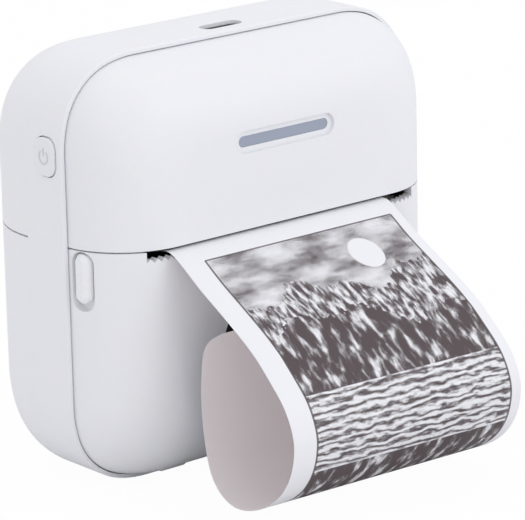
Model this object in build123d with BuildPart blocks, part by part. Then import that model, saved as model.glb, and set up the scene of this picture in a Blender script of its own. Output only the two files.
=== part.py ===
from build123d import *
from math import atan2, cos, degrees, hypot, radians, sin, sqrt
import os

# Pocket thermal printer. +X is to the right seen from the front, +Y to the back, +Z up.
# The origin is on the flat underside of the middle frame. All sizes are in millimetres.

# Case: a middle frame with a domed cover in front and a rounded shell behind
BODY_W = 84.0
BODY_H = 82.0
FRONT_DEPTH = 13.5       # from the frame's lip to the flat front
FRAME_DEPTH = 11.0
REAR_DEPTH = 21.0
LIP_Y = -9.5             # front parting plane
WALL = 1.8
FRAME_WALL = 2.6
LIP = 0.8                # the frame's rim that shows round the front covers
LIP_STEP = 1.5           # how deep the covers sit inside the lip
COVER_CLEAR = 0.15
LIP_ROUND = 0.3
SIDE_ARC_R = 24.0        # gentle arc where each side starts to turn
SIDE_ARC_ANGLE = 15.0
CORNER_ARC_R = 14.5      # tighter arc in the middle of each corner
FRONT_DOME = 15.0        # how far in from the edge the front's dome reaches
REAR_DOME = 19.0
REAR_SKIRT = 1.0         # straight part of the rear shell next to the frame
DOME_STEPS = (0.0, 0.28, 0.52, 0.72, 0.87, 0.96, 1.0)
SEAM_Z = 47.8            # underside of the upper cover
SEAM_GAP = 0.3
REAR_SEAM_GAP = 0.35
DOOR_GAP = 0.3
DOOR_CHAMFER = 0.8

# Paper outlet and tear teeth
PAPER_W = 53.0
PAPER_T = 0.2
SLOT_HALF_W = 33.0
TEAR_Z = 46.2            # tips of the tear teeth
TOOTH_PITCH = 1.35
TOOTH_H = 0.7

# Light window in the upper cover
LED_W = 21.6
LED_H = 2.1
LED_Z = 64.3
LED_RIM = 1.1
LED_RECESS = 0.7
GUIDE_LEN = 10.5
LED_CHIP = 1.6

# Round window in the door
WINDOW_R = 16.5
WINDOW_RING_R = 18.0
WINDOW_Z = 23.7
RING_FIT = 0.05
RING_GROOVE = 0.35

# Door hinge
HINGE_Y = -11.7
HINGE_Z = 3.2
BARREL_R = 2.2
LUG_R = 1.95
HINGE_PIN_R = 0.8
PIN_CLEAR = 0.06
LUG_LEN = 6.0
BARREL_LEN = 5.0
HINGE_X = 15.0
SWING_CLEAR = 0.35

# Platen roller and its gears
PLATEN_Y = -14.0
PLATEN_Z = 41.0
PLATEN_R = 3.9
PLATEN_LEN = 54.0
SHAFT_R = 1.5
BUSH_R = 2.8
EAR_X = 28.8
EAR_T = 1.6
EAR_R = 3.7
GEAR_MODULE = 0.5
PLATEN_TEETH = 16
IDLER_TEETH = 32
PINION_TEETH = 12
GEAR_X = 31.4
GEAR_W = 2.6
IDLER_ANGLE = 10.0       # direction from the platen to the idler, above level
PINION_ANGLE = 65.0      # direction from the idler to the motor, above level
TOOTH_SLACK = 0.2
MOTOR_R = 6.0
MOTOR_LEN = 12.0
AXLE_R = 1.0
MOTOR_SHAFT_R = 0.8

# Print head
NIP_ANGLE = 80.0         # where the head meets the platen, above level at the back
WEB_GAP = 0.2            # platen to paper
HEAD_GAP = 0.1           # paper to head
HEAD_W = 52.0
HEAD_T = 1.2
HEAD_SINK_T = 2.2
HEAD_FRONT = 2.4
HEAD_BACK = 11.0
PIVOT_BACK = 13.6
PIVOT_UP = 2.4
PIVOT_R = 0.9
PIVOT_LUG_R = 2.1
SPRING_X = 15.0
SPRING_W = 7.0
SPRING_T = 0.3

# Paper roll and its bay
ROLL_R = 16.0
CORE_R = 6.5
CORE_BORE_R = 5.3
ROLL_Y = -1.0
ROLL_Z = 22.6
BAY_R = 18.2
BAY_T = 1.4
BAY_FLOOR_GAP = 0.3
BAY_FRONT_Y = -11.5
BAY_TOP_Z = 36.0
CHEEK_GAP = 0.7
CHEEK_T = 1.4
PLATE_FRONT_Y = -9.4
PLATE_BACK_Y = 8.0
PLATE_TOP_Z = 51.6
MOTOR_PLATE_TOP = 61.0

# Boards, battery, button, release tab and charging socket
BULKHEAD_Y = -2.4
BULKHEAD_T = 1.5
BOARD_Y = -7.4
BOARD_T = 1.2
BOARD_LOW_Z = 54.0
BOARD_HALF_W = 37.2
BATTERY = (43.0, 9.5, 22.0)
BATTERY_X = -9.5
BATTERY_Z = 65.0
BUTTON_Y = -4.9
BUTTON_Z = 64.2
BUTTON_W = 6.4
BUTTON_H = 7.6
BUTTON_CORNER = 2.6
BUTTON_GAP = 0.2
BUTTON_PROUD = 0.5
BUTTON_FLANGE_T = 0.7
BUTTON_WING = 0.6
BUTTON_BACK_GAP = 0.35
SWITCH_GAP = 0.7
TAB_Y = -12.5
TAB_Z = 42.3
TAB_W = 3.4
TAB_H = 9.4
TAB_SIDE_GAP = 0.6
TAB_TOP_GAP = 0.4
TAB_TRAVEL_GAP = 1.5
TAB_X = -41.1
TAB_FLOOR_X = -39.0
TAB_PAD_X = -37.2
NECK_W = 1.6
NECK_H = 4.0
USB_X = 0.0
USB_Y = -4.6
USB_W = 9.0
USB_H = 3.2
USB_LEN = 7.4
USB_SINK = 0.6
USB_WALL = 0.35
SCREW_X = 34.2
SCREW_RISE = 33.2
BOSS_R = 2.7

HALF_W = BODY_W / 2
HALF_H = BODY_H / 2
FRONT_Y = LIP_Y - FRONT_DEPTH
FRAME_BACK_Y = LIP_Y + FRAME_DEPTH
REAR_Y = FRAME_BACK_Y + REAR_DEPTH
COVER_Y = LIP_Y + LIP_STEP
DOOR_TOP_Z = SEAM_Z - SEAM_GAP
CHEEK_X = PAPER_W / 2 + CHEEK_GAP
BAY_Z = ROLL_Z + BAY_R - ROLL_R - BAY_FLOOR_GAP
BIG = 200.0
os.makedirs("parts", exist_ok=True)


def save(piece, name):
    """Labels a finished piece and writes its STEP file."""
    piece.part.label = name
    export_step(piece.part, f"parts/{name}.step")


def case_plane(y):
    """Plane across the case at depth y, centred on the case; it looks to the front."""
    return Plane(origin=(0, y, HALF_H), x_dir=(1, 0, 0), z_dir=(0, -1, 0))


def outline(inset, extra=0.0):
    """Draws the case outline moved in by inset, then shrunk by extra at each side."""
    size = (HALF_W - inset - extra) / (HALF_W - inset)
    turn = SIDE_ARC_ANGLE
    step = SIDE_ARC_R - CORNER_ARC_R
    near, far = step * sin(radians(turn)), step * cos(radians(turn))
    reach = SIDE_ARC_R - far + near
    side = ((HALF_W - SIDE_ARC_R) * size, (HALF_H - reach) * size)
    top = ((HALF_W - reach) * size, (HALF_H - SIDE_ARC_R) * size)
    mid = (side[0] + far * size, side[1] + near * size)
    wide, high = (HALF_W - inset) * size, (HALF_H - inset) * size
    r_side, r_mid = (SIDE_ARC_R - inset) * size, (CORNER_ARC_R - inset) * size
    with BuildLine() as path:
        for k, (sx, sz) in enumerate(((1, 1), (-1, 1), (-1, -1), (1, -1))):
            first, last = (side, top) if k % 2 == 0 else (top, side)
            CenterArc((sx * first[0], sz * first[1]), r_side, 90 * k, turn)
            CenterArc((sx * mid[0], sz * mid[1]), r_mid, 90 * k + turn, 90 - 2 * turn)
            CenterArc((sx * last[0], sz * last[1]), r_side, 90 * k + 90 - turn, turn)
        Line((wide, -side[1]), (wide, side[1]))
        Line((top[0], high), (-top[0], high))
        Line((-wide, side[1]), (-wide, -side[1]))
        Line((-top[0], -high), (top[0], -high))
    make_face(path.edges())


def dome(inset, start_y, flat_y, reach):
    """Solid that starts with the outline at start_y and rounds over to a flat at flat_y."""
    with BuildPart() as solid:
        for t in DOME_STEPS:
            with BuildSketch(case_plane(start_y + (flat_y - start_y) * t)):
                outline(inset, reach * (1 - sqrt(1 - t * t)))
        loft()
    return solid.part


def front_shell():
    """Wall of both front covers before the seam is cut."""
    inset = LIP + COVER_CLEAR
    with BuildPart() as shell:
        add(dome(inset, COVER_Y, FRONT_Y, FRONT_DOME))
        add(dome(inset + WALL, COVER_Y, FRONT_Y + WALL, FRONT_DOME - WALL), mode=Mode.SUBTRACT)
    return shell.part


def rear_shell():
    """Wall of both rear shells before they are parted."""
    start = FRAME_BACK_Y + REAR_SKIRT
    with BuildPart() as shell:
        add(dome(0, start, REAR_Y, REAR_DOME))
        with BuildSketch(case_plane(start)):
            outline(0)
        extrude(amount=REAR_SKIRT)
        add(dome(WALL, start, REAR_Y - WALL, REAR_DOME - WALL), mode=Mode.SUBTRACT)
        with BuildSketch(case_plane(start)):
            outline(WALL)
        extrude(amount=REAR_SKIRT, mode=Mode.SUBTRACT)
    return shell.part


def slab(x0, x1, y0, y1, z0, z1, mode=Mode.ADD):
    """Adds or cuts a plain block between the given limits."""
    with Locations(((x0 + x1) / 2, (y0 + y1) / 2, (z0 + z1) / 2)):
        Box(x1 - x0, y1 - y0, z1 - z0, mode=mode)


def bar_x(x0, x1, y, z, radius, mode=Mode.ADD):
    """Adds or cuts a round bar along X."""
    with Locations(((x0 + x1) / 2, y, z)):
        Cylinder(radius, x1 - x0, rotation=(0, 90, 0), mode=mode)


def bar_y(x, y0, y1, z, radius, mode=Mode.ADD):
    """Adds or cuts a round bar along Y."""
    with Locations((x, (y0 + y1) / 2, z)):
        Cylinder(radius, y1 - y0, rotation=(90, 0, 0), mode=mode)


def aside(y, z, angle, distance):
    """Point at a distance and angle from a point, in the plane of the gears."""
    return y + distance * cos(radians(angle)), z + distance * sin(radians(angle))


def nip(back, up):
    """Point in the side view, measured along and off the head's face from the nip."""
    y, z = aside(PLATEN_Y, PLATEN_Z, NIP_ANGLE, PLATEN_R + up)
    return aside(y, z, NIP_ANGLE - 90, back)


def gear(teeth, turn, y, z, bore):
    """Spur gear with straight-sided teeth about the axis through y and z."""
    pitch_r = GEAR_MODULE * teeth / 2
    root_r, tip_r = pitch_r - 1.25 * GEAR_MODULE, pitch_r + GEAR_MODULE
    half = 90 / teeth - degrees(TOOTH_SLACK / 4 / pitch_r)
    lean = degrees(0.36 * GEAR_MODULE / pitch_r)
    points = []
    for k in range(teeth):
        mid = turn + 360 * k / teeth
        for radius, side in ((root_r, -half - 1.25 * lean), (tip_r, -half + lean),
                             (tip_r, half - lean), (root_r, half + 1.25 * lean)):
            points.append(aside(0, 0, mid + side, radius))
    with BuildSketch(Plane.YZ.offset(GEAR_X - GEAR_W / 2)) as face:
        with Locations((y, z)):
            Polygon(*points, align=None)
            Circle(bore, mode=Mode.SUBTRACT)
    extrude(face.sketch, amount=GEAR_W)


IDLER_YZ = aside(PLATEN_Y, PLATEN_Z, IDLER_ANGLE, GEAR_MODULE * (PLATEN_TEETH + IDLER_TEETH) / 2)
MOTOR_YZ = aside(*IDLER_YZ, PINION_ANGLE, GEAR_MODULE * (IDLER_TEETH + PINION_TEETH) / 2)
IDLER_TURN = IDLER_ANGLE + 180 + 180 / IDLER_TEETH
IDLER_LEAD = (IDLER_TURN - PINION_ANGLE) % (360 / IDLER_TEETH)
PINION_TURN = (PINION_ANGLE + 180 - IDLER_LEAD * IDLER_TEETH / PINION_TEETH
               + 180 / PINION_TEETH)
PIVOT_YZ = nip(PIVOT_BACK, PIVOT_UP)
# Side view (y, z) of the hanging strip, from behind the tear edge to its free end
STRIP_PATH = [(-16.6, 45.75), (-19.5, 46.2), (-22.8, 46.45), (-25.6, 45.0), (-30.8, 41.2), (-37.0, 37.2),
              (-42.6, 33.3), (-48.0, 28.4), (-52.4, 23.7), (-54.6, 18.8), (-54.6, 14.6),
              (-53.2, 10.4), (-50.4, 6.6), (-46.4, 3.6), (-42.4, 1.9), (-38.7, 1.3), (-35.9, 1.8),
              (-33.2, 3.4), (-30.9, 6.6), (-29.5, 12.2), (-28.8, 20.3), (-29.5, 27.7),
              (-30.5, 30.5), (-31.6, 32.5)]
WEB_PATH = [(5.6, 37.6), nip(4.0, WEB_GAP + PAPER_T / 2 - 1.2), nip(1.2, WEB_GAP + PAPER_T / 2),
            nip(-2.0, WEB_GAP + PAPER_T / 2)]
SCREW_POINTS = [(sx * SCREW_X, HALF_H + sz * SCREW_RISE) for sx in (-1, 1) for sz in (-1, 1)]
POST_POINTS = [(-30, 64), (30, 66), (-14, 76.5), (14, 76.5)]

# Case

with BuildPart() as frame_ring:
    with BuildSketch(case_plane(FRAME_BACK_Y)):
        outline(0)
    extrude(amount=FRAME_DEPTH)
    fillet(frame_ring.faces().sort_by(Axis.Y)[0].edges(), LIP_ROUND)
    with BuildSketch(case_plane(FRAME_BACK_Y)):
        outline(FRAME_WALL)
    extrude(amount=FRAME_DEPTH, mode=Mode.SUBTRACT)
    with BuildSketch(case_plane(COVER_Y)):
        outline(LIP)
    extrude(amount=LIP_STEP, mode=Mode.SUBTRACT)
    for side in (-1, 1):
        x0, x1 = side * HINGE_X - LUG_LEN / 2, side * HINGE_X + LUG_LEN / 2
        slab(x0, x1, COVER_Y + 0.3, COVER_Y + 4, 1, HINGE_Z + LUG_R)
        slab(x0, x1, HINGE_Y, COVER_Y + 4, HINGE_Z - 0.5, HINGE_Z + LUG_R)
        bar_x(x0, x1, HINGE_Y, HINGE_Z, LUG_R)
        bar_x(x0, x1, HINGE_Y, HINGE_Z, HINGE_PIN_R, Mode.SUBTRACT)
    for x, z in SCREW_POINTS:
        bar_y(x, BULKHEAD_Y + BULKHEAD_T, FRAME_BACK_Y, z, BOSS_R)
        bar_y(x, BULKHEAD_Y, FRAME_BACK_Y - 0.6, z, 0.8, Mode.SUBTRACT)
    with BuildSketch(Plane.YZ.offset(-HALF_W - 1)):
        with Locations((BUTTON_Y, BUTTON_Z)):
            RectangleRounded(BUTTON_W, BUTTON_H, BUTTON_CORNER)
    extrude(amount=8, mode=Mode.SUBTRACT)
    with BuildSketch(Plane.XY.offset(BODY_H - 6)):
        with Locations((USB_X, USB_Y)):
            RectangleRounded(USB_W + 0.3, USB_H + 0.3, USB_H / 2)
    extrude(amount=8, mode=Mode.SUBTRACT)
save(frame_ring, "frame_ring")

FRONT_SHELL = front_shell()
REAR_SHELL = rear_shell()

with BuildPart() as upper_front_cover:
    add(FRONT_SHELL)
    slab(-BIG, BIG, -BIG, BIG, -BIG, SEAM_Z, Mode.SUBTRACT)
    with BuildSketch(case_plane(FRONT_Y - 1)):
        with Locations((0, LED_Z - HALF_H)):
            SlotOverall(LED_W + 2 * LED_RIM, LED_H + 2 * LED_RIM)
    extrude(amount=-1 - LED_RECESS, mode=Mode.SUBTRACT)
    with BuildSketch(case_plane(FRONT_Y)):
        with Locations((0, LED_Z - HALF_H)):
            SlotOverall(LED_W, LED_H)
    extrude(amount=-WALL - 1, mode=Mode.SUBTRACT)
save(upper_front_cover, "upper_front_cover")

with BuildPart() as rear_shell_upper:
    add(REAR_SHELL)
    slab(-BIG, BIG, -BIG, BIG, -BIG, SEAM_Z + REAR_SEAM_GAP / 2, Mode.SUBTRACT)
save(rear_shell_upper, "rear_shell_upper")

with BuildPart() as rear_shell_lower:
    add(REAR_SHELL)
    slab(-BIG, BIG, -BIG, BIG, SEAM_Z - REAR_SEAM_GAP / 2, BIG, Mode.SUBTRACT)
save(rear_shell_lower, "rear_shell_lower")

# Door: the lower front cover and what it carries

with BuildPart() as lower_front_cover:
    add(FRONT_SHELL)
    slab(-BIG, BIG, -BIG, BIG, DOOR_TOP_Z, BIG, Mode.SUBTRACT)
    slab(-BIG, BIG, COVER_Y - DOOR_GAP, BIG, -BIG, BIG, Mode.SUBTRACT)
    with BuildSketch(Plane.YZ.offset(-BIG / 2)):
        with Locations((HINGE_Y + BIG / 2, HINGE_Z - BIG / 2)):
            Rectangle(BIG, BIG)
        with Locations((HINGE_Y, HINGE_Z)):
            Circle(BARREL_R - 0.4, mode=Mode.SUBTRACT)
    extrude(amount=BIG, mode=Mode.SUBTRACT)
    bar_y(0, -BIG, 0, WINDOW_Z, WINDOW_RING_R, Mode.SUBTRACT)
    teeth = int(2 * SLOT_HALF_W / TOOTH_PITCH)
    start = -teeth * TOOTH_PITCH / 2
    saw = [(start, BIG)]
    for k in range(teeth):
        saw.append((start + k * TOOTH_PITCH, TEAR_Z - TOOTH_H))
        saw.append((start + (k + 0.5) * TOOTH_PITCH, TEAR_Z))
    saw += [(-start, TEAR_Z - TOOTH_H), (-start, BIG)]
    with BuildSketch(Plane.XZ):
        Polygon(*saw, align=None)
    extrude(amount=BIG, mode=Mode.SUBTRACT)
    for side in (-1, 1):
        x0, x1 = side * EAR_X - EAR_T / 2, side * EAR_X + EAR_T / 2
        slab(x0, x1, FRONT_Y + 1.4, PLATEN_Y, PLATEN_Z - EAR_R, PLATEN_Z + EAR_R)
        bar_x(x0, x1, PLATEN_Y, PLATEN_Z, EAR_R)
        bar_x(x0, x1, PLATEN_Y, PLATEN_Z, BUSH_R, Mode.SUBTRACT)
        near = LUG_LEN / 2 + SEAM_GAP
        for x in (side * HINGE_X - near - BARREL_LEN / 2, side * HINGE_X + near + BARREL_LEN / 2):
            bar_x(x - BARREL_LEN / 2, x + BARREL_LEN / 2, HINGE_Y, HINGE_Z, BARREL_R)
        bar_x(side * HINGE_X - near, side * HINGE_X + near, HINGE_Y, HINGE_Z,
              LUG_R + SWING_CLEAR, Mode.SUBTRACT)
        far = near + BARREL_LEN
        bar_x(side * HINGE_X - far, side * HINGE_X + far, HINGE_Y, HINGE_Z,
              HINGE_PIN_R + PIN_CLEAR, Mode.SUBTRACT)
    slab(TAB_FLOOR_X, TAB_PAD_X, TAB_Y - 2.9, COVER_Y - 1.2, TAB_Z - 8, DOOR_TOP_Z)
    with BuildSketch(Plane.YZ.offset(-HALF_W)):
        with Locations((TAB_Y, TAB_Z + (TAB_TOP_GAP - TAB_TRAVEL_GAP) / 2)):
            RectangleRounded(TAB_W + 2 * TAB_SIDE_GAP, TAB_H + TAB_TOP_GAP + TAB_TRAVEL_GAP,
                             TAB_W / 2 + TAB_SIDE_GAP - 0.1)
    extrude(amount=HALF_W + TAB_FLOOR_X, mode=Mode.SUBTRACT)
    slab(-HALF_W, TAB_PAD_X + 1, TAB_Y - NECK_W / 2 - 0.1, TAB_Y + NECK_W / 2 + 0.1,
         TAB_Z - NECK_H / 2 - TAB_TRAVEL_GAP, TAB_Z + NECK_H / 2 + 0.1, Mode.SUBTRACT)
    slab(TAB_PAD_X - 0.4, TAB_PAD_X + 2.4, TAB_Y - 1.6, TAB_Y + 1.6, TAB_Z - 8, TAB_Z - 7)
save(lower_front_cover, "lower_front_cover")

with BuildPart() as window_ring:
    add(FRONT_SHELL)
    bar_y(0, -BIG, 0, WINDOW_Z, WINDOW_RING_R - RING_FIT, Mode.INTERSECT)
    bar_y(0, -BIG, 0, WINDOW_Z, WINDOW_R, Mode.SUBTRACT)
save(window_ring, "window_ring")

with BuildPart() as window_lens:
    add(FRONT_SHELL)
    bar_y(0, -BIG, 0, WINDOW_Z, WINDOW_R - RING_FIT, Mode.INTERSECT)
    with BuildSketch(case_plane(FRONT_Y - 1)):
        with Locations((0, WINDOW_Z - HALF_H)):
            Circle(WINDOW_R)
    extrude(amount=-1 - RING_GROOVE, mode=Mode.SUBTRACT)
save(window_lens, "window_lens")

with BuildPart() as latch_slider:
    with BuildSketch(Plane.YZ.offset(TAB_FLOOR_X - 0.15)):
        with Locations((TAB_Y, TAB_Z)):
            RectangleRounded(TAB_W, TAB_H, TAB_W / 2 - 0.1)
    extrude(amount=TAB_X - TAB_FLOOR_X + 0.15)
    chamfer(latch_slider.faces().sort_by(Axis.X)[0].edges(), 0.7)
    slab(TAB_FLOOR_X - 0.15, TAB_PAD_X + 0.15, TAB_Y - NECK_W / 2, TAB_Y + NECK_W / 2,
         TAB_Z - NECK_H / 2, TAB_Z + NECK_H / 2)
    slab(TAB_PAD_X + 0.15, TAB_PAD_X + 1.35, TAB_Y - 1.5, TAB_Y + 1.5, TAB_Z - 3.6, TAB_Z + 5)
save(latch_slider, "latch_slider")

with BuildPart() as latch_spring:
    turns, low, high = 3.5, TAB_Z - 6.95, TAB_Z - 3.65
    with BuildLine():
        coil = Helix((high - low - 0.4) / turns, high - low - 0.4, 0.85,
                     center=(TAB_PAD_X + 1.2, TAB_Y, low + 0.2))
    with BuildSketch(Plane(coil @ 0, z_dir=coil % 0)):
        RegularPolygon(0.2, 6)
    sweep(is_frenet=True)
save(latch_spring, "latch_spring")

with BuildPart() as platen_shaft:
    bar_x(-EAR_X - EAR_T / 2 - 0.6, GEAR_X + GEAR_W / 2 + 0.6, PLATEN_Y, PLATEN_Z, SHAFT_R)
save(platen_shaft, "platen_shaft")

with BuildPart() as platen_rubber:
    bar_x(-PLATEN_LEN / 2, PLATEN_LEN / 2, PLATEN_Y, PLATEN_Z, PLATEN_R)
    bar_x(-PLATEN_LEN / 2, PLATEN_LEN / 2, PLATEN_Y, PLATEN_Z, SHAFT_R, Mode.SUBTRACT)
save(platen_rubber, "platen_rubber")

with BuildPart() as platen_gear:
    gear(PLATEN_TEETH, IDLER_ANGLE, PLATEN_Y, PLATEN_Z, SHAFT_R)
save(platen_gear, "platen_gear")

with BuildPart() as platen_bushes:
    for side in (-1, 1):
        x0, x1 = side * EAR_X - EAR_T / 2, side * EAR_X + EAR_T / 2
        bar_x(x0, x1, PLATEN_Y, PLATEN_Z, BUSH_R)
        bar_x(x0, x1, PLATEN_Y, PLATEN_Z, SHAFT_R + PIN_CLEAR, Mode.SUBTRACT)
save(platen_bushes, "platen_bushes")

# Printed strip that hangs from the outlet and curls under
with BuildPart() as paper_strip:
    with BuildSketch(Plane.YZ.offset(-PAPER_W / 2)):
        with BuildLine():
            Spline(*STRIP_PATH)
        trace(line_width=PAPER_T)
    extrude(amount=PAPER_W)
save(paper_strip, "paper_strip")

# Drive

with BuildPart() as idler_gear:
    gear(IDLER_TEETH, IDLER_TURN, *IDLER_YZ, AXLE_R + PIN_CLEAR)
save(idler_gear, "idler_gear")

with BuildPart() as idler_axle:
    bar_x(CHEEK_X, GEAR_X + GEAR_W / 2 + 0.8, *IDLER_YZ, AXLE_R)
    bar_x(CHEEK_X + CHEEK_T, GEAR_X - GEAR_W / 2 - 0.1, *IDLER_YZ, AXLE_R + 0.8)
    bar_x(GEAR_X + GEAR_W / 2 + 0.1, GEAR_X + GEAR_W / 2 + 0.8, *IDLER_YZ, AXLE_R + 0.8)
save(idler_axle, "idler_axle")

with BuildPart() as motor_pinion:
    gear(PINION_TEETH, PINION_TURN, *MOTOR_YZ, 0.3)
    bar_x(CHEEK_X - 2, GEAR_X, *MOTOR_YZ, MOTOR_SHAFT_R)
save(motor_pinion, "motor_pinion")

with BuildPart() as drive_motor:
    bar_x(CHEEK_X - MOTOR_LEN, CHEEK_X, *MOTOR_YZ, MOTOR_R)
    bar_x(CHEEK_X - 3, CHEEK_X, *MOTOR_YZ, MOTOR_SHAFT_R + PIN_CLEAR, Mode.SUBTRACT)
    bar_x(CHEEK_X - MOTOR_LEN - 0.8, CHEEK_X - MOTOR_LEN, *MOTOR_YZ, 2)
save(drive_motor, "drive_motor")

# Print head

with BuildPart() as thermal_head:
    low = WEB_GAP + PAPER_T + HEAD_GAP
    face = [nip(-HEAD_FRONT, low), nip(HEAD_BACK, low), nip(PIVOT_BACK, PIVOT_UP - 1.2),
            nip(PIVOT_BACK, PIVOT_UP + 1.6), nip(HEAD_BACK - 2, low + HEAD_T + HEAD_SINK_T),
            nip(0.5, low + HEAD_T + HEAD_SINK_T), nip(-HEAD_FRONT, low + HEAD_T)]
    with BuildSketch(Plane.YZ.offset(-HEAD_W / 2)):
        Polygon(*face, align=None)
    extrude(amount=HEAD_W)
    bar_x(-HEAD_W / 2, HEAD_W / 2, *PIVOT_YZ, PIVOT_LUG_R)
    bar_x(-HEAD_W / 2, HEAD_W / 2, *PIVOT_YZ, PIVOT_R + PIN_CLEAR, Mode.SUBTRACT)
save(thermal_head, "thermal_head")

with BuildPart() as head_pivot_pin:
    bar_x(-CHEEK_X - CHEEK_T, CHEEK_X + CHEEK_T, *PIVOT_YZ, PIVOT_R)
save(head_pivot_pin, "head_pivot_pin")

with BuildPart() as head_springs:
    press = nip(3.5, WEB_GAP + PAPER_T + HEAD_GAP + HEAD_T + HEAD_SINK_T + 0.1 + SPRING_T / 2)
    root_z = PLATE_TOP_Z - 1.6 - SPRING_T / 2
    for side in (-1, 1):
        with BuildSketch(Plane.YZ.offset(side * SPRING_X - SPRING_W / 2)):
            with BuildLine():
                Polyline((-4.8, root_z), (-8.0, root_z), (press[0] + 1.6, press[1] + 0.35),
                         press, (press[0] - 1.2, press[1] + 0.5))
            trace(line_width=SPRING_T)
        extrude(amount=SPRING_W)
save(head_springs, "head_springs")

# Paper supply

with BuildPart() as paper_roll:
    bar_x(-PAPER_W / 2, PAPER_W / 2, ROLL_Y, ROLL_Z, ROLL_R)
    bar_x(-PAPER_W / 2, PAPER_W / 2, ROLL_Y, ROLL_Z, CORE_R, Mode.SUBTRACT)
save(paper_roll, "paper_roll")

with BuildPart() as paper_core:
    bar_x(-PAPER_W / 2, PAPER_W / 2, ROLL_Y, ROLL_Z, CORE_R)
    bar_x(-PAPER_W / 2, PAPER_W / 2, ROLL_Y, ROLL_Z, CORE_BORE_R, Mode.SUBTRACT)
save(paper_core, "paper_core")

with BuildPart() as paper_web:
    with BuildSketch(Plane.YZ.offset(-PAPER_W / 2)):
        with BuildLine():
            Polyline(*WEB_PATH)
        trace(line_width=PAPER_T)
    extrude(amount=PAPER_W)
save(paper_web, "paper_web")

# Inside frame

with BuildPart() as chassis:
    with BuildSketch(Plane.YZ.offset(-CHEEK_X - CHEEK_T)):
        with Locations((ROLL_Y, BAY_Z)):
            Circle(BAY_R + BAY_T)
            Circle(BAY_R, mode=Mode.SUBTRACT)
        with Locations((BAY_FRONT_Y - BIG / 2, 0), (0, BAY_TOP_Z + BIG / 2)):
            Rectangle(BIG, BIG, mode=Mode.SUBTRACT)
    extrude(amount=2 * (CHEEK_X + CHEEK_T))
    for side in (-1, 1):
        with BuildSketch(Plane.YZ.offset(side * (CHEEK_X + CHEEK_T / 2) - CHEEK_T / 2)):
            with Locations((ROLL_Y, BAY_Z)):
                Circle(BAY_R + BAY_T)
            with Locations((BAY_FRONT_Y - BIG / 2, 0), (0, BAY_TOP_Z + BIG / 2)):
                Rectangle(BIG, BIG, mode=Mode.SUBTRACT)
            with Locations(((PLATE_FRONT_Y + PLATE_BACK_Y) / 2, (30 + PLATE_TOP_Z) / 2)):
                Rectangle(PLATE_BACK_Y - PLATE_FRONT_Y, PLATE_TOP_Z - 30)
        extrude(amount=CHEEK_T)
    slab(CHEEK_X, CHEEK_X + CHEEK_T, MOTOR_YZ[0] - MOTOR_R - 1, PLATE_BACK_Y + 1,
         PLATE_TOP_Z - 2, MOTOR_PLATE_TOP)
    slab(-CHEEK_X, CHEEK_X, PLATE_FRONT_Y, -4.5, PLATE_TOP_Z - 1.6, PLATE_TOP_Z)
    slab(-CHEEK_X, CHEEK_X, PLATE_FRONT_Y, -6.6, 39.2, 40.8)
    with BuildSketch(case_plane(BULKHEAD_Y + BULKHEAD_T)):
        outline(FRAME_WALL)
        with Locations((0, PLATE_TOP_Z - BIG / 2 - HALF_H)):
            Rectangle(2 * CHEEK_X, BIG, mode=Mode.SUBTRACT)
        with Locations((CHEEK_X + 3.8, IDLER_YZ[1] + 2 - HALF_H)):
            Rectangle(7.6, 24, mode=Mode.SUBTRACT)
        with Locations((CHEEK_X - MOTOR_LEN / 2 - 0.6, MOTOR_YZ[1] - HALF_H)):
            Rectangle(MOTOR_LEN + 1.2, 2 * MOTOR_R + 1, mode=Mode.SUBTRACT)
        with Locations((-HALF_W + 2.5, BUTTON_Z - HALF_H)):
            Rectangle(5, BUTTON_H + 3.4, mode=Mode.SUBTRACT)
    extrude(amount=BULKHEAD_T)
    for x, z in POST_POINTS:
        bar_y(x, BOARD_Y + BOARD_T, BULKHEAD_Y + 0.1, z, 1.8)
        bar_y(x, BOARD_Y, BULKHEAD_Y, z, 0.6, Mode.SUBTRACT)
    for x, z in SCREW_POINTS:
        bar_y(x, BULKHEAD_Y - 1, BULKHEAD_Y + 3, z, 0.8, Mode.SUBTRACT)
    bar_x(CHEEK_X - 1, CHEEK_X + 3, *IDLER_YZ, AXLE_R, Mode.SUBTRACT)
    bar_x(CHEEK_X - 1, CHEEK_X + 3, *MOTOR_YZ, MOTOR_SHAFT_R + 0.15, Mode.SUBTRACT)
    bar_x(-BIG, BIG, *PIVOT_YZ, PIVOT_R, Mode.SUBTRACT)
save(chassis, "chassis")

with BuildPart() as hinge_pins:
    for side in (-1, 1):
        far = LUG_LEN / 2 + SEAM_GAP + BARREL_LEN - 0.2
        bar_x(side * HINGE_X - far, side * HINGE_X + far, HINGE_Y, HINGE_Z, HINGE_PIN_R)
save(hinge_pins, "hinge_pins")

with BuildPart() as chassis_screws:
    for x, z in SCREW_POINTS:
        bar_y(x, BULKHEAD_Y - 1.1, BULKHEAD_Y, z, 1.7)
        bar_y(x, BULKHEAD_Y, FRAME_BACK_Y - 0.6, z, 0.8)
save(chassis_screws, "chassis_screws")

# Electronics

with BuildPart() as main_board:
    with BuildSketch(case_plane(BOARD_Y + BOARD_T)):
        outline(FRAME_WALL + 0.6)
        with Locations((0, (BOARD_LOW_Z + BIG / 2) - HALF_H)):
            Rectangle(2 * BOARD_HALF_W, BIG, mode=Mode.INTERSECT)
        for x, z in POST_POINTS:
            with Locations((x, z - HALF_H)):
                Circle(0.6, mode=Mode.SUBTRACT)
    extrude(amount=BOARD_T)
save(main_board, "main_board")

with BuildPart() as board_screws:
    for x, z in POST_POINTS:
        bar_y(x, BOARD_Y - 0.8, BOARD_Y, z, 1.4)
        bar_y(x, BOARD_Y, BULKHEAD_Y, z, 0.6)
save(board_screws, "board_screws")

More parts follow.
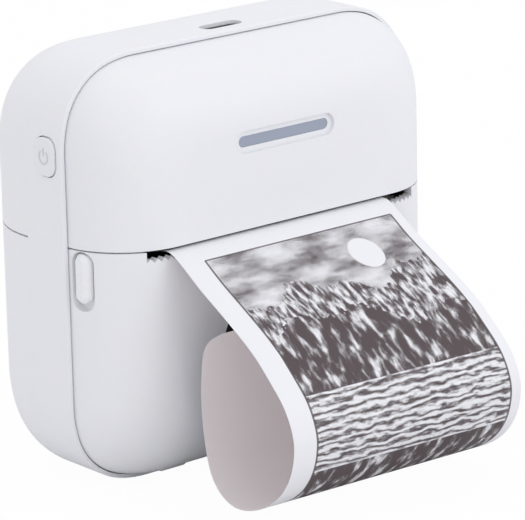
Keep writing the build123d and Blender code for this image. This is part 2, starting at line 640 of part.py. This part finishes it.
with BuildPart() as board_chips:
    for x, z, w, h, t in ((-8, 70.5, 7, 7, 0.9), (16, 70, 5, 4, 1.0), (20, 58, 8, 3, 1.6)):
        slab(x - w / 2, x + w / 2, BOARD_Y - t, BOARD_Y, z - h / 2, z + h / 2)
save(board_chips, "board_chips")

with BuildPart() as indicator_leds:
    for x in (-7, 0, 7):
        slab(x - LED_CHIP / 2, x + LED_CHIP / 2, BOARD_Y - 0.8, BOARD_Y,
             LED_Z - LED_CHIP / 2, LED_Z + LED_CHIP / 2)
save(indicator_leds, "indicator_leds")

with BuildPart() as indicator_lens:
    with BuildSketch(case_plane(FRONT_Y + LED_RECESS + 0.1)):
        with Locations((0, LED_Z - HALF_H)):
            SlotOverall(LED_W - 0.1, LED_H - 0.1)
    extrude(amount=-GUIDE_LEN)
    with BuildSketch(case_plane(FRONT_Y + WALL)):
        with Locations((0, LED_Z - HALF_H)):
            SlotOverall(LED_W + 2, LED_H + 2)
    extrude(amount=-0.8)
save(indicator_lens, "indicator_lens")

with BuildPart() as battery:
    with Locations((BATTERY_X, BULKHEAD_Y + BULKHEAD_T + BATTERY[1] / 2, BATTERY_Z)):
        Box(*BATTERY)
    fillet(battery.edges().filter_by(Axis.Z), 1.5)
save(battery, "battery")

with BuildPart() as usb_socket:
    with BuildSketch(Plane.XY.offset(BODY_H - USB_SINK)):
        with Locations((USB_X, USB_Y)):
            RectangleRounded(USB_W, USB_H, USB_H / 2 - 0.05)
    extrude(amount=-USB_LEN)
    with BuildSketch(Plane.XY.offset(BODY_H - USB_SINK)):
        with Locations((USB_X, USB_Y)):
            RectangleRounded(USB_W - 2 * USB_WALL, USB_H - 2 * USB_WALL, USB_H / 2 - USB_WALL - 0.05)
    extrude(amount=-USB_LEN + 0.8, mode=Mode.SUBTRACT)
    slab(USB_X - 3.3, USB_X + 3.3, USB_Y - 0.35, USB_Y + 0.35,
         BODY_H - USB_LEN, BODY_H - USB_SINK - 0.8)
save(usb_socket, "usb_socket")

with BuildPart() as power_button:
    with BuildSketch(Plane.YZ.offset(-HALF_W - BUTTON_PROUD)):
        with Locations((BUTTON_Y, BUTTON_Z)):
            RectangleRounded(BUTTON_W - 2 * BUTTON_GAP, BUTTON_H - 2 * BUTTON_GAP,
                             BUTTON_CORNER - BUTTON_GAP)
    extrude(amount=BUTTON_PROUD + FRAME_WALL + BUTTON_BACK_GAP)
    fillet(power_button.faces().sort_by(Axis.X)[0].edges(), 0.3)
    flange_x = -HALF_W + FRAME_WALL + BUTTON_BACK_GAP
    slab(flange_x, flange_x + BUTTON_FLANGE_T, BUTTON_Y - 2.9, BUTTON_Y + 2.9,
         BUTTON_Z - BUTTON_H / 2 - BUTTON_WING, BUTTON_Z + BUTTON_H / 2 + BUTTON_WING)
save(power_button, "power_button")

with BuildPart() as power_switch:
    body_x = -HALF_W + FRAME_WALL + BUTTON_BACK_GAP + BUTTON_FLANGE_T + SWITCH_GAP
    bar_x(body_x, body_x + 0.8, BUTTON_Y, BUTTON_Z, 1.1)
    slab(body_x + 0.7, body_x + 4.7, BOARD_Y + BOARD_T, BUTTON_Y + 2.0, BUTTON_Z - 2.4, BUTTON_Z + 2.4)
save(power_switch, "power_switch")

with BuildPart() as paper_sensor:
    slab(-2, 2, PLATE_FRONT_Y + 0.3, -6.9, 40.8, 41.5)
save(paper_sensor, "paper_sensor")
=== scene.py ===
import math

import bpy
from mathutils import Matrix, Vector


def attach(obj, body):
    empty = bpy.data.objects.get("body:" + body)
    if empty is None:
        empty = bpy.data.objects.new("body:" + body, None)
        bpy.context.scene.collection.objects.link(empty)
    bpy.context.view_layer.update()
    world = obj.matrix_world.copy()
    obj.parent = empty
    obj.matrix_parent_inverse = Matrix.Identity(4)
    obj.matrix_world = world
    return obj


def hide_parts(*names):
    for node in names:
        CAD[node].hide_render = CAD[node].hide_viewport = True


MM = 0.001
PRINT_BROWN = (0.075, 0.052, 0.055, 1.0)
LEFT_MARGIN = 0.1
RIGHT_MARGIN = 0.045
PRINT_START = 10.6
PRINT_END = 74.0
PAPER_W = 53.0
PAPER_WHITE = (0.87, 0.87, 0.895, 1)
PAPER_BACK = (0.87, 0.82, 0.825, 1)
SUN_AT, SUN_R = (39.0, 17.4), 3.6
LAKE_START, LAKE_END = 43.0, 58.0
BUTTON_FACE_X = -42.0
BUTTON_AT = (-4.9, 64.2)
FLOOR_GLOW = 0.97
SKY_STRENGTH = 0.90
BUTTON_PROUD = 0.5

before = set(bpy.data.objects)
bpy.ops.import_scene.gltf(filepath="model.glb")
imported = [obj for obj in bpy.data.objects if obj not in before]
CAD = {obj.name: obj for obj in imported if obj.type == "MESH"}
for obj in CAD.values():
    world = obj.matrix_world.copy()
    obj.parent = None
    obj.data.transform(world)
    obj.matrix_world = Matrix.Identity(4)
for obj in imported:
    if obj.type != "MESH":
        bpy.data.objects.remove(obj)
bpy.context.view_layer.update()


class Expr:
    """A shader value that turns Python arithmetic into Math nodes."""

    def __init__(self, tree, socket):
        self.tree, self.socket = tree, socket

    def op(self, kind, *others):
        node = self.tree.nodes.new("ShaderNodeMath")
        node.operation = kind
        for slot, value in zip(node.inputs, (self,) + others):
            if isinstance(value, Expr):
                self.tree.links.new(value.socket, slot)
            else:
                slot.default_value = value
        return Expr(self.tree, node.outputs[0])

    def __add__(self, o): return self.op("ADD", o)
    def __sub__(self, o): return self.op("SUBTRACT", o)
    def __mul__(self, o): return self.op("MULTIPLY", o)
    def __truediv__(self, o): return self.op("DIVIDE", o)
    def below(self, o): return self.op("LESS_THAN", o)
    def above(self, o): return self.op("GREATER_THAN", o)
    def least(self, o): return self.op("MINIMUM", o)
    def most(self, o): return self.op("MAXIMUM", o)
    def wave(self, rate, phase=0.0): return (self * rate + phase).op("SINE")
    def size(self): return self.op("ABSOLUTE")
    def power(self, o): return self.op("POWER", o)


def material(name, color, rough=0.5, spec=0.5, metal=0.0, bump=0.0, scale=900.0, vary=0.02,
             coat=0.0, transmission=0.0, sheen_under=0.0):
    """Procedural material with a slight change of roughness, and a fine grain when bump is set."""
    m = bpy.data.materials.new(name)
    m.use_nodes = True
    tree = m.node_tree
    b = tree.nodes["Principled BSDF"]
    b.inputs["Base Color"].default_value = (*color, 1)
    b.inputs["Roughness"].default_value = rough
    b.inputs["Metallic"].default_value = metal
    b.inputs["Specular IOR Level"].default_value = spec
    b.inputs["Coat Weight"].default_value = coat
    b.inputs["Transmission Weight"].default_value = transmission
    b.inputs["Subsurface Weight"].default_value = sheen_under
    b.inputs["Subsurface Scale"].default_value = 0.0015
    where = tree.nodes.new("ShaderNodeTexCoord")
    broad = tree.nodes.new("ShaderNodeTexNoise")
    broad.inputs["Scale"].default_value = scale / 14
    broad.inputs["Detail"].default_value = 3
    tree.links.new(where.outputs["Object"], broad.inputs["Vector"])
    ramp = tree.nodes.new("ShaderNodeMapRange")
    ramp.inputs["To Min"].default_value = rough - vary
    ramp.inputs["To Max"].default_value = rough + vary
    tree.links.new(broad.outputs["Fac"], ramp.inputs["Value"])
    tree.links.new(ramp.outputs["Result"], b.inputs["Roughness"])
    if bump:
        fine = tree.nodes.new("ShaderNodeTexNoise")
        fine.inputs["Scale"].default_value = scale
        fine.inputs["Detail"].default_value = 4
        tree.links.new(where.outputs["Object"], fine.inputs["Vector"])
        lift = tree.nodes.new("ShaderNodeBump")
        lift.inputs["Strength"].default_value = bump
        lift.inputs["Distance"].default_value = 0.00003
        tree.links.new(fine.outputs["Fac"], lift.inputs["Height"])
        tree.links.new(lift.outputs["Normal"], b.inputs["Normal"])
    return m


WHITE = material("case_satin_white", (0.86, 0.86, 0.885), 0.42, 0.35, bump=0.25, sheen_under=0.05)
WHITE_GLOSS = material("lip_white", (0.88, 0.88, 0.90), 0.28, 0.45, vary=0.03)
BUTTON = material("button_white", (0.84, 0.84, 0.865), 0.36, 0.4, bump=0.2)
MARK = material("button_sign_grey", (0.66, 0.66, 0.69), 0.4, 0.4, vary=0.03)
LENS = material("smoked_window", (0.012, 0.012, 0.014), 0.12, 0.6, vary=0.03, coat=0.4)
GUIDE = material("indicator_blue_grey", (0.34, 0.38, 0.47), 0.38, 0.5)
DARK = material("inner_black_plastic", (0.035, 0.035, 0.038), 0.5, 0.4, bump=0.4, vary=0.06)
NYLON = material("gear_nylon", (0.62, 0.60, 0.55), 0.42, 0.4, bump=0.2)
STEEL = material("plain_steel", (0.60, 0.60, 0.61), 0.28, metal=1.0, bump=0.3, vary=0.08)
SOCKET = material("socket_steel", (0.42, 0.42, 0.43), 0.32, metal=1.0, vary=0.06)
HEAD = material("head_aluminium", (0.50, 0.50, 0.52), 0.35, metal=1.0, bump=0.5, vary=0.06)
RUBBER = material("platen_rubber_black", (0.03, 0.03, 0.03), 0.72, 0.3, bump=0.6)
ROLL = material("paper_roll_white", (0.86, 0.86, 0.88), 0.6, 0.25, bump=0.3)
CARD = material("core_card", (0.45, 0.35, 0.24), 0.8, 0.2, bump=0.8, scale=500)
BOARD = material("board_green", (0.02, 0.12, 0.06), 0.3, 0.5, vary=0.05)
CHIP = material("chip_black", (0.02, 0.02, 0.022), 0.45, 0.4)
CELL = material("battery_wrap", (0.12, 0.15, 0.2), 0.35, 0.5, bump=0.2)

LOOK = {
    "frame_ring": WHITE, "upper_front_cover": WHITE, "rear_shell_upper": WHITE, "rear_shell_lower": WHITE,
    "lower_front_cover": WHITE, "latch_slider": WHITE_GLOSS, "power_button": BUTTON,
    "window_ring": WHITE_GLOSS, "window_lens": LENS, "indicator_lens": GUIDE, "indicator_leds": GUIDE,
    "chassis": DARK, "platen_bushes": NYLON, "idler_gear": NYLON, "motor_pinion": NYLON,
    "platen_gear": NYLON, "paper_sensor": CHIP, "power_switch": CHIP, "chassis_screws": STEEL,
    "board_screws": STEEL, "hinge_pins": STEEL, "idler_axle": STEEL, "head_pivot_pin": STEEL,
    "head_springs": STEEL, "latch_spring": STEEL, "platen_shaft": STEEL, "drive_motor": STEEL,
    "usb_socket": SOCKET, "thermal_head": HEAD, "platen_rubber": RUBBER, "paper_roll": ROLL,
    "paper_web": ROLL, "paper_core": CARD, "main_board": BOARD, "board_chips": CHIP, "battery": CELL,
}
for name, look in LOOK.items():
    CAD[name].data.materials.clear()
    CAD[name].data.materials.append(look)


def thermal_paper(length):
    """Paper with a generic printed landscape on its outer side and a plain grey-pink inner side."""
    m = bpy.data.materials.new("thermal_paper_print")
    m.use_nodes = True
    tree = m.node_tree
    b = tree.nodes["Principled BSDF"]
    b.inputs["Roughness"].default_value = 0.55
    b.inputs["Specular IOR Level"].default_value = 0.25
    uv = tree.nodes.new("ShaderNodeUVMap")
    parts = tree.nodes.new("ShaderNodeSeparateXYZ")
    tree.links.new(uv.outputs["UV"], parts.inputs["Vector"])
    u = Expr(tree, parts.outputs["X"])
    v = Expr(tree, parts.outputs["Y"]) * length

    def noise(scale, detail=2.0, stretch=(1, 1)):
        place = tree.nodes.new("ShaderNodeMapping")
        place.inputs["Scale"].default_value = (PAPER_W * stretch[0], length * stretch[1], 1)
        tree.links.new(uv.outputs["UV"], place.inputs["Vector"])
        n = tree.nodes.new("ShaderNodeTexNoise")
        n.inputs["Scale"].default_value = scale
        n.inputs["Detail"].default_value = detail
        tree.links.new(place.outputs["Vector"], n.inputs["Vector"])
        return Expr(tree, n.outputs["Fac"])

    x = u * PAPER_W
    across = u.above(LEFT_MARGIN) * u.below(1 - RIGHT_MARGIN)
    inside = across * v.above(PRINT_START) * v.below(PRINT_END)
    grain = noise(5.5, 3.0)
    fine = noise(13.0, 2.0)
    sky = noise(0.12, 3.0, (1, 2.4))
    # far and near ridges: the print darkens below each line
    far_line = x.wave(0.21, 0.4) * 2.2 + x.wave(0.53, 1.1) * 1.1 + noise(0.6, 4.0) * 5.0 + 20.0
    near_line = x.wave(0.13, 2.2) * 3.0 + x.wave(0.37, 0.2) * 1.4 + noise(0.8, 5.0) * 6.0 + 27.5
    far = v.above(far_line)
    near = v.above(near_line)
    lake = v.above(LAKE_START) * v.below(LAKE_END)
    sun_x, sun_v = x - SUN_AT[0], v - SUN_AT[1]
    sun = (sun_x * sun_x + sun_v * sun_v).power(0.5).below(SUN_R)
    tone = (sky - 0.5) * 0.9 + 0.38
    tone = tone * (sun * -1.0 + 1.0)
    tone = tone * (far * -1.0 + 1.0) + far * ((noise(0.5, 5.0, (2.0, 0.7)) - 0.5) * 2.2 + 0.45)
    tone = tone * (near * -1.0 + 1.0) + near * ((noise(0.35, 6.0, (1.6, 0.6)) - 0.5) * 2.6 + 0.62)
    ripple = (v + noise(0.5, 3.0, (0.5, 1)) * 3.0).wave(4.2) * 0.22 + 0.36
    tone = tone * (lake * -1.0 + 1.0) + lake * (ripple + (noise(1.0, 4.0, (0.3, 2.0)) - 0.5) * 0.9)
    tone = tone + (grain - 0.5) * 0.35
    dots = fine.below(tone * 0.72 + 0.2)
    ink = inside * dots * 0.92 + inside * tone.most(0.0).least(1.0) * 0.3
    # thin printed border line of the picture
    edge = (u - LEFT_MARGIN).size().below(0.004).most((u - (1 - RIGHT_MARGIN)).size().below(0.004))
    ink = ink.most(edge * v.above(PRINT_START) * v.below(PRINT_END) * 0.85)
    ink = ink.most((v - PRINT_START).size().below(0.15) * across * 0.85)

    face = tree.nodes.new("ShaderNodeNewGeometry")
    back = Expr(tree, face.outputs["Backfacing"])
    mix = tree.nodes.new("ShaderNodeMix")
    mix.data_type = "RGBA"
    mix.inputs["A"].default_value = PAPER_WHITE
    mix.inputs["B"].default_value = PRINT_BROWN
    tree.links.new(ink.least(0.97).socket, mix.inputs["Factor"])
    under = tree.nodes.new("ShaderNodeMix")
    under.data_type = "RGBA"
    under.inputs["B"].default_value = PAPER_BACK
    tree.links.new(mix.outputs["Result"], under.inputs["A"])
    tree.links.new(back.socket, under.inputs["Factor"])
    tree.links.new(under.outputs["Result"], b.inputs["Base Color"])
    lift = tree.nodes.new("ShaderNodeBump")
    lift.inputs["Strength"].default_value = 0.08
    lift.inputs["Distance"].default_value = 0.00003
    tree.links.new(grain.socket, lift.inputs["Height"])
    tree.links.new(lift.outputs["Normal"], b.inputs["Normal"])
    return m


def smooth_path(points, steps):
    """Catmull-Rom curve through the points, resampled at even spacing."""
    fine = []
    for i in range(len(points) - 1):
        p0, p1 = points[max(i - 1, 0)], points[i]
        p2, p3 = points[i + 1], points[min(i + 2, len(points) - 1)]
        for k in range(24):
            t = k / 24
            fine.append(tuple(0.5 * (2 * b + (c - a) * t + (2 * a - 5 * b + 4 * c - d) * t * t
                                     + (3 * b - a - 3 * c + d) * t ** 3)
                              for a, b, c, d in zip(p0, p1, p2, p3)))
    fine.append(points[-1])
    run = [0.0]
    for a, b in zip(fine, fine[1:]):
        run.append(run[-1] + math.dist(a, b))
    out, j = [], 0
    for s in range(steps + 1):
        goal = run[-1] * s / steps
        while j < len(run) - 2 and run[j + 1] < goal:
            j += 1
        f = (goal - run[j]) / max(run[j + 1] - run[j], 1e-9)
        out.append(tuple(a + (b - a) * f for a, b in zip(fine[j], fine[j + 1])))
    return out, run[-1]


LEFT_SIDE = [(-16.6, 45.9), (-19.5, 46.6), (-22.8, 47.15), (-25.8, 45.6), (-30.8, 41.7), (-37.0, 37.4),
             (-42.6, 33.3), (-48.0, 28.4), (-52.4, 23.7), (-54.6, 18.8), (-54.6, 14.6),
             (-53.2, 10.4), (-50.4, 6.6), (-46.4, 3.6), (-42.4, 1.9), (-38.7, 1.3), (-35.9, 1.8),
             (-33.2, 3.4), (-30.9, 6.6), (-29.5, 12.2), (-28.8, 20.3), (-29.5, 27.7),
             (-30.5, 30.5), (-31.6, 32.5)]
BULGE = 3.0
CORNER = 3.0
SLOT_SHIFT = 2.4


def paper():
    """The printed strip: a thin sheet that leaves the slot, hangs, and curls back under itself."""
    steps, across = 150, 24
    path, length = smooth_path(LEFT_SIDE, steps)
    verts, faces, uvs = [], [], []
    for i, (y, z) in enumerate(path):
        s = i / steps
        away = math.sin(math.pi * min(max((s - 0.06) / 0.8, 0), 1)) ** 2
        for j in range(across + 1):
            f = j / across
            v = length * s
            half = PAPER_W / 2
            over = max(v - (length - CORNER), 0)
            if over > 0:
                half -= CORNER - math.sqrt(max(CORNER ** 2 - over ** 2, 0))
            x = -half + 2 * half * f - SLOT_SHIFT * max(1 - v / 34.0, 0)
            push = BULGE * f * away
            verts.append((x * MM, (y - push) * MM, z * MM))
            uvs.append((f, v / length))
    row = across + 1
    for i in range(steps):
        for j in range(across):
            a = i * row + j
            faces.append((a, a + row, a + row + 1, a + 1))
    mesh = bpy.data.meshes.new("printed_paper")
    mesh.from_pydata(verts, [], faces)
    layer = mesh.uv_layers.new(name="UVMap")
    for loop in mesh.loops:
        layer.data[loop.index].uv = uvs[loop.vertex_index]
    for p in mesh.polygons:
        p.use_smooth = True
    mesh.materials.append(thermal_paper(length))
    sheet = bpy.data.objects.new("printed_paper", mesh)
    bpy.context.collection.objects.link(sheet)
    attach(sheet, "door")
    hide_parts("paper_strip")
    return length


PAPER_LENGTH = paper()


def power_mark():
    """Faint raised power sign on the button: an open ring with a short bar."""
    face_x, (y0, z0), rise = BUTTON_FACE_X - BUTTON_PROUD, BUTTON_AT, 0.04
    ring_r, half_line = 1.25, 0.16
    verts, faces = [], []
    turns = 28
    for i in range(turns + 1):
        a = math.radians(125 + 290 * i / turns)
        for r in (ring_r - half_line, ring_r + half_line):
            verts.append(((face_x - rise) * MM, (y0 + r * math.cos(a)) * MM, (z0 + r * math.sin(a)) * MM))
    for i in range(turns):
        a = 2 * i
        faces.append((a, a + 1, a + 3, a + 2))
    n = len(verts)
    for y, z in ((-half_line, 0.25), (half_line, 0.25), (half_line, 1.75), (-half_line, 1.75)):
        verts.append(((face_x - rise) * MM, (y0 + y) * MM, (z0 + z) * MM))
    faces.append((n, n + 1, n + 2, n + 3))
    mesh = bpy.data.meshes.new("power_mark")
    mesh.from_pydata(verts, [], faces)
    mesh.materials.append(MARK)
    sign = bpy.data.objects.new("power_mark", mesh)
    bpy.context.collection.objects.link(sign)
    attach(sign, "button")


def studio():
    """Pale floor, soft light and a white backdrop."""
    mesh = bpy.data.meshes.new("floor")
    mesh.from_pydata([(-3, -3, 0), (3, -3, 0), (3, 3, 0), (-3, 3, 0)], [], [(0, 1, 2, 3)])
    floor = bpy.data.objects.new("floor", mesh)
    floor.location.z = -0.0002
    bpy.context.collection.objects.link(floor)
    m = bpy.data.materials.new("floor_white")
    m.use_nodes = True
    tree = m.node_tree
    b = tree.nodes["Principled BSDF"]
    b.inputs["Base Color"].default_value = (0.86, 0.86, 0.86, 1)
    b.inputs["Roughness"].default_value = 0.9
    b.inputs["Specular IOR Level"].default_value = 0.0
    glow = tree.nodes.new("ShaderNodeEmission")
    glow.inputs["Color"].default_value = (1, 1, 1, 1)
    ray = tree.nodes.new("ShaderNodeLightPath")
    scale = tree.nodes.new("ShaderNodeMath")
    scale.operation = "MULTIPLY"
    scale.inputs[1].default_value = FLOOR_GLOW
    tree.links.new(ray.outputs["Is Camera Ray"], scale.inputs[0])
    mix = tree.nodes.new("ShaderNodeMixShader")
    tree.links.new(scale.outputs[0], mix.inputs["Fac"])
    tree.links.new(b.outputs["BSDF"], mix.inputs[1])
    tree.links.new(glow.outputs["Emission"], mix.inputs[2])
    tree.links.new(mix.outputs["Shader"], tree.nodes["Material Output"].inputs["Surface"])
    mesh.materials.append(m)

    world = bpy.data.worlds.new("studio")
    bpy.context.scene.world = world
    world.use_nodes = True
    tree = world.node_tree
    tree.nodes.clear()
    out = tree.nodes.new("ShaderNodeOutputWorld")
    seen, soft = tree.nodes.new("ShaderNodeBackground"), tree.nodes.new("ShaderNodeBackground")
    seen.inputs["Color"].default_value = (1, 1, 1, 1)
    seen.inputs["Strength"].default_value = 1.0
    soft.inputs["Color"].default_value = (0.965, 0.97, 1.0, 1)
    soft.inputs["Strength"].default_value = SKY_STRENGTH
    ray = tree.nodes.new("ShaderNodeLightPath")
    mix = tree.nodes.new("ShaderNodeMixShader")
    tree.links.new(ray.outputs["Is Camera Ray"], mix.inputs["Fac"])
    tree.links.new(soft.outputs[0], mix.inputs[1])
    tree.links.new(seen.outputs[0], mix.inputs[2])
    tree.links.new(mix.outputs[0], out.inputs["Surface"])

    def softbox(name, place, aim, size, watts):
        data = bpy.data.lights.new(name, "AREA")
        data.shape = "DISK"
        data.size = size
        data.energy = watts
        lamp = bpy.data.objects.new(name, data)
        lamp.location = place
        lamp.rotation_euler = (Vector(aim) - Vector(place)).to_track_quat("-Z", "Y").to_euler()
        bpy.context.collection.objects.link(lamp)

    softbox("key", (0.25, -0.75, 0.55), (0, 0, 0.04), 0.5, 1.05)
    softbox("top", (0.0, 0.05, 0.9), (0, 0, 0.05), 0.5, 0.45)


power_mark()
studio()


def camera():
    """Camera at the photo's viewpoint."""
    azimuth, lift, roll = math.radians(-39.8), math.radians(16.177), math.radians(-1.289)
    back = Vector((math.sin(azimuth) * math.cos(lift), -math.cos(azimuth) * math.cos(lift), math.sin(lift)))
    aim = Vector((12.826, 0, 32.503)) * MM
    place = aim + back * 716.055 * MM
    right = (-back).cross(Vector((0, 0, 1))).normalized()
    up = right.cross(-back)
    right, up = (right * math.cos(roll) + up * math.sin(roll), -right * math.sin(roll) + up * math.cos(roll))
    turn = Matrix((right, up, back)).transposed()
    data = bpy.data.cameras.new("photo_view")
    data.sensor_width = 36.0
    data.sensor_fit = "HORIZONTAL"
    data.lens = 3688.98 / 525 * 36.0
    data.clip_start = 0.01
    eye = bpy.data.objects.new("photo_view", data)
    eye.matrix_world = Matrix.Translation(place) @ turn.to_4x4()
    bpy.context.collection.objects.link(eye)
    bpy.context.scene.camera = eye


camera()
bpy.context.scene.view_settings.view_transform = "Standard"
